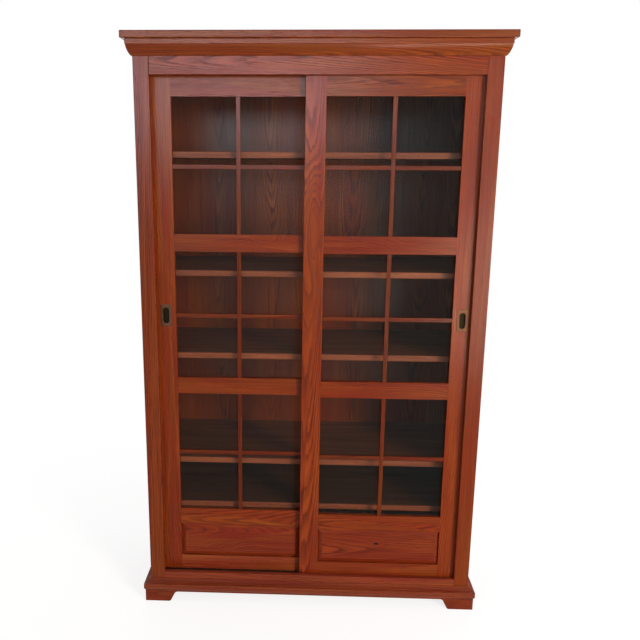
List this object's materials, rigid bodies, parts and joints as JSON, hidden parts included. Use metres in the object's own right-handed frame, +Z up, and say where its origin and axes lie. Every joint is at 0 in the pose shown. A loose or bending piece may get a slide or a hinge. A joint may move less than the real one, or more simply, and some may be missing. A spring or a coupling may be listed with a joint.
{
  "type": "sliding door bookcase",
  "caption": "Tall stained oak bookcase with a crown, bracket feet, adjustable shelves and glazed sliding doors that pass each other on rollers.",
  "frame": {"origin": "centre of the footprint on the floor", "axes": "+X to the right seen from the front, +Y from the front to the back, +Z up"},
  "size_m": [1.2852, 0.541, 2.076],
  "materials": {
    "stained_oak": "satin",
    "oak_plywood": "satin",
    "plain_poplar": "matte",
    "clear_glass": "polished",
    "aged_bronze": "satin",
    "zinc_steel": "satin",
    "nickel_steel": "satin",
    "white_nylon": "matte",
    "aluminium_track": "satin",
    "brown_plastic": "matte"
  },
  "bodies": {
    "case": {"back_panel": "oak_plywood", "base_board_front": "stained_oak", "base_board_sides": "stained_oak", "base_cap_front": "stained_oak", "base_cap_sides": "stained_oak", "bottom_deck": "stained_oak", "bottom_track": "aluminium_track", "ceiling_panel": "stained_oak", "crown_moulding_front": "stained_oak", "crown_moulding_sides": "stained_oak", "door_stops": "stained_oak", "face_bottom_rail": "stained_oak", "face_stile_left": "stained_oak", "face_stile_right": "stained_oak", "face_top_rail": "stained_oak", "foot_blocks": "plain_poplar", "loose_shelf_highest": "stained_oak", "loose_shelf_low": "stained_oak", "loose_shelf_upper": "stained_oak", "lower_fixed_shelf": "stained_oak", "middle_fixed_shelf": "stained_oak", "shelf_pins": "nickel_steel", "side_panel_left": "stained_oak", "side_panel_right": "stained_oak", "top_board": "stained_oak", "top_track": "brown_plastic"},
    "left_door": {"left_door_bottom_rail": "stained_oak", "left_door_flush_pull": "aged_bronze", "left_door_glass_panes": "clear_glass", "left_door_glass_stops": "stained_oak", "left_door_inner_stile": "stained_oak", "left_door_lower_rail": "stained_oak", "left_door_mid_rails": "stained_oak", "left_door_muntin_horizontals": "stained_oak", "left_door_muntin_verticals": "stained_oak", "left_door_outer_stile": "stained_oak", "left_door_raised_panel": "stained_oak", "left_door_roller_axles": "zinc_steel", "left_door_roller_housings": "zinc_steel", "left_door_top_guides": "white_nylon", "left_door_top_rail": "stained_oak"},
    "right_door": {"right_door_bottom_rail": "stained_oak", "right_door_flush_pull": "aged_bronze", "right_door_glass_panes": "clear_glass", "right_door_glass_stops": "stained_oak", "right_door_inner_stile": "stained_oak", "right_door_lower_rail": "stained_oak", "right_door_mid_rails": "stained_oak", "right_door_muntin_horizontals": "stained_oak", "right_door_muntin_verticals": "stained_oak", "right_door_outer_stile": "stained_oak", "right_door_raised_panel": "stained_oak", "right_door_roller_axles": "zinc_steel", "right_door_roller_housings": "zinc_steel", "right_door_top_guides": "white_nylon", "right_door_top_rail": "stained_oak"},
    "left_door_inner_roller": {"left_door_inner_wheel": "white_nylon"},
    "left_door_outer_roller": {"left_door_outer_wheel": "white_nylon"},
    "right_door_inner_roller": {"right_door_inner_wheel": "white_nylon"},
    "right_door_outer_roller": {"right_door_outer_wheel": "white_nylon"}
  },
  "joints": [
    {"name": "left_door_slide", "type": "slide", "parent": "case", "child": "left_door", "axis": [1, 0, 0], "range_m": [0, 0.529]},
    {"name": "right_door_slide", "type": "slide", "parent": "case", "child": "right_door", "axis": [1, 0, 0], "range_m": [-0.529, 0]},
    {"name": "left_door_outer_roller_spin", "type": "hinge", "parent": "left_door", "child": "left_door_outer_roller", "pos_m": [-0.4545, -0.1805, 0.1133], "axis": [0, 1, 0], "continuous": true},
    {"name": "left_door_inner_roller_spin", "type": "hinge", "parent": "left_door", "child": "left_door_inner_roller", "pos_m": [-0.0745, -0.1805, 0.1133], "axis": [0, 1, 0], "continuous": true},
    {"name": "right_door_outer_roller_spin", "type": "hinge", "parent": "right_door", "child": "right_door_outer_roller", "pos_m": [0.4545, -0.2055, 0.1133], "axis": [0, 1, 0], "continuous": true},
    {"name": "right_door_inner_roller_spin", "type": "hinge", "parent": "right_door", "child": "right_door_inner_roller", "pos_m": [0.0745, -0.2055, 0.1133], "axis": [0, 1, 0], "continuous": true}
  ],
  "couplings": [
    {"joint": "left_door_outer_roller_spin", "follows": "left_door_slide", "rad_per_m": 111.11},
    {"joint": "left_door_inner_roller_spin", "follows": "left_door_slide", "rad_per_m": 111.11},
    {"joint": "right_door_outer_roller_spin", "follows": "right_door_slide", "rad_per_m": 111.11},
    {"joint": "right_door_inner_roller_spin", "follows": "right_door_slide", "rad_per_m": 111.11}
  ]
}
